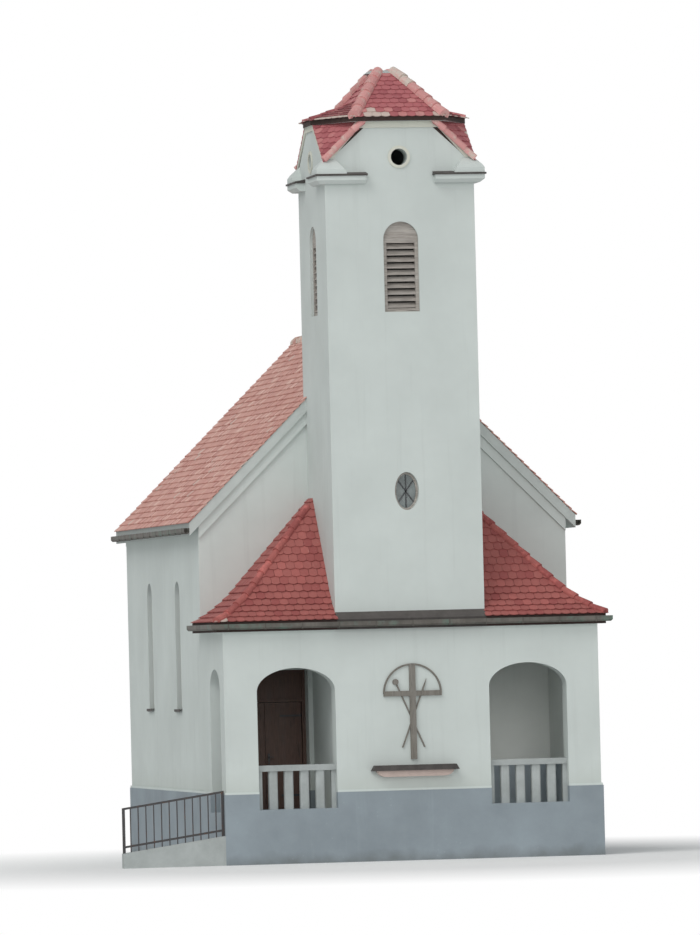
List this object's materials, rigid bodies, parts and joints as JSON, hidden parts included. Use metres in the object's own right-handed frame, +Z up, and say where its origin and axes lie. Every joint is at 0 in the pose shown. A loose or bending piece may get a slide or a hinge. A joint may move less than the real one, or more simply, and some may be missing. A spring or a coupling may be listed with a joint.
{
  "type": "small chapel",
  "caption": "Small chapel with a gabled nave, a square bell tower under a clipped-gable tiled roof, and an arched porch with a hinged double door.",
  "frame": {"origin": "on the long axis, on the centre line of the porch's front wall, at the lowest ground", "axes": "+X to the right as one faces the porch, +Y back along the nave, +Z up"},
  "size_m": [10.22, 13.02, 16.212],
  "materials": {
    "white_plaster": "matte lime plaster",
    "plinth_paint": "matte blue-grey paint",
    "floor_stone": "honed",
    "light_concrete": "cast",
    "red_tiles": "matte fired clay",
    "pale_red_tiles": "weathered clay",
    "cream_plaster": "matte lime plaster",
    "pink_stone": "honed",
    "weathered_metal": "weathered",
    "dark_sheet_metal": "dull",
    "weathered_brown_wood": "weathered paint",
    "dark_brown_wood": "oiled",
    "cross_wood": "weathered",
    "window_glass": "old window glass",
    "dark_iron": "painted"
  },
  "bodies": {
    "chapel": {"approach_railing": "dark_iron", "approach_wall": "light_concrete", "cornice_covers": "dark_sheet_metal", "cross_ledge": "dark_sheet_metal", "door_frame": "dark_brown_wood", "doorway_piers": "white_plaster", "helm_cap": "light_concrete", "ledge_console": "pink_stone", "nave_floor": "floor_stone", "nave_front_wall_left": "white_plaster", "nave_front_wall_right": "white_plaster", "nave_gutters": "weathered_metal", "nave_left_wall": "white_plaster", "nave_plinth": "plinth_paint", "nave_rake_mouldings": "white_plaster", "nave_rear_wall": "white_plaster", "nave_right_wall": "white_plaster", "nave_roof_left": "pale_red_tiles", "nave_roof_right": "pale_red_tiles", "nave_window_glass": "window_glass", "nave_window_sills": "light_concrete", "porch_balustrades": "light_concrete", "porch_ceiling": "white_plaster", "porch_floor": "floor_stone", "porch_front_wall": "white_plaster", "porch_gutter": "weathered_metal", "porch_left_wall": "white_plaster", "porch_plinth": "plinth_paint", "porch_right_wall": "white_plaster", "porch_roof_left": "red_tiles", "porch_roof_right": "red_tiles", "tower_corner_roofs": "red_tiles", "tower_cornices": "white_plaster", "tower_front_ledge": "dark_sheet_metal", "tower_gable_mouldings": "cream_plaster", "tower_gables": "white_plaster", "tower_helm": "red_tiles", "tower_kneelers": "white_plaster", "tower_louvres": "weathered_brown_wood", "tower_lower_walls": "white_plaster", "tower_oval_frame": "weathered_brown_wood", "tower_oval_window": "window_glass", "tower_shaft": "white_plaster", "wall_cross": "cross_wood"},
    "left_leaf": {"door_leaf_left": "dark_brown_wood"},
    "right_leaf": {"door_leaf_right": "dark_brown_wood"}
  },
  "joints": [
    {"name": "left_leaf_hinge", "type": "hinge", "parent": "chapel", "child": "left_leaf", "pos_m": [-3.267, 3.155, 2.16], "axis": [0, 0, 1], "range_deg": [0, 90]},
    {"name": "right_leaf_hinge", "type": "hinge", "parent": "chapel", "child": "right_leaf", "pos_m": [-1.723, 3.155, 2.16], "axis": [0, 0, -1], "range_deg": [0, 90]}
  ]
}
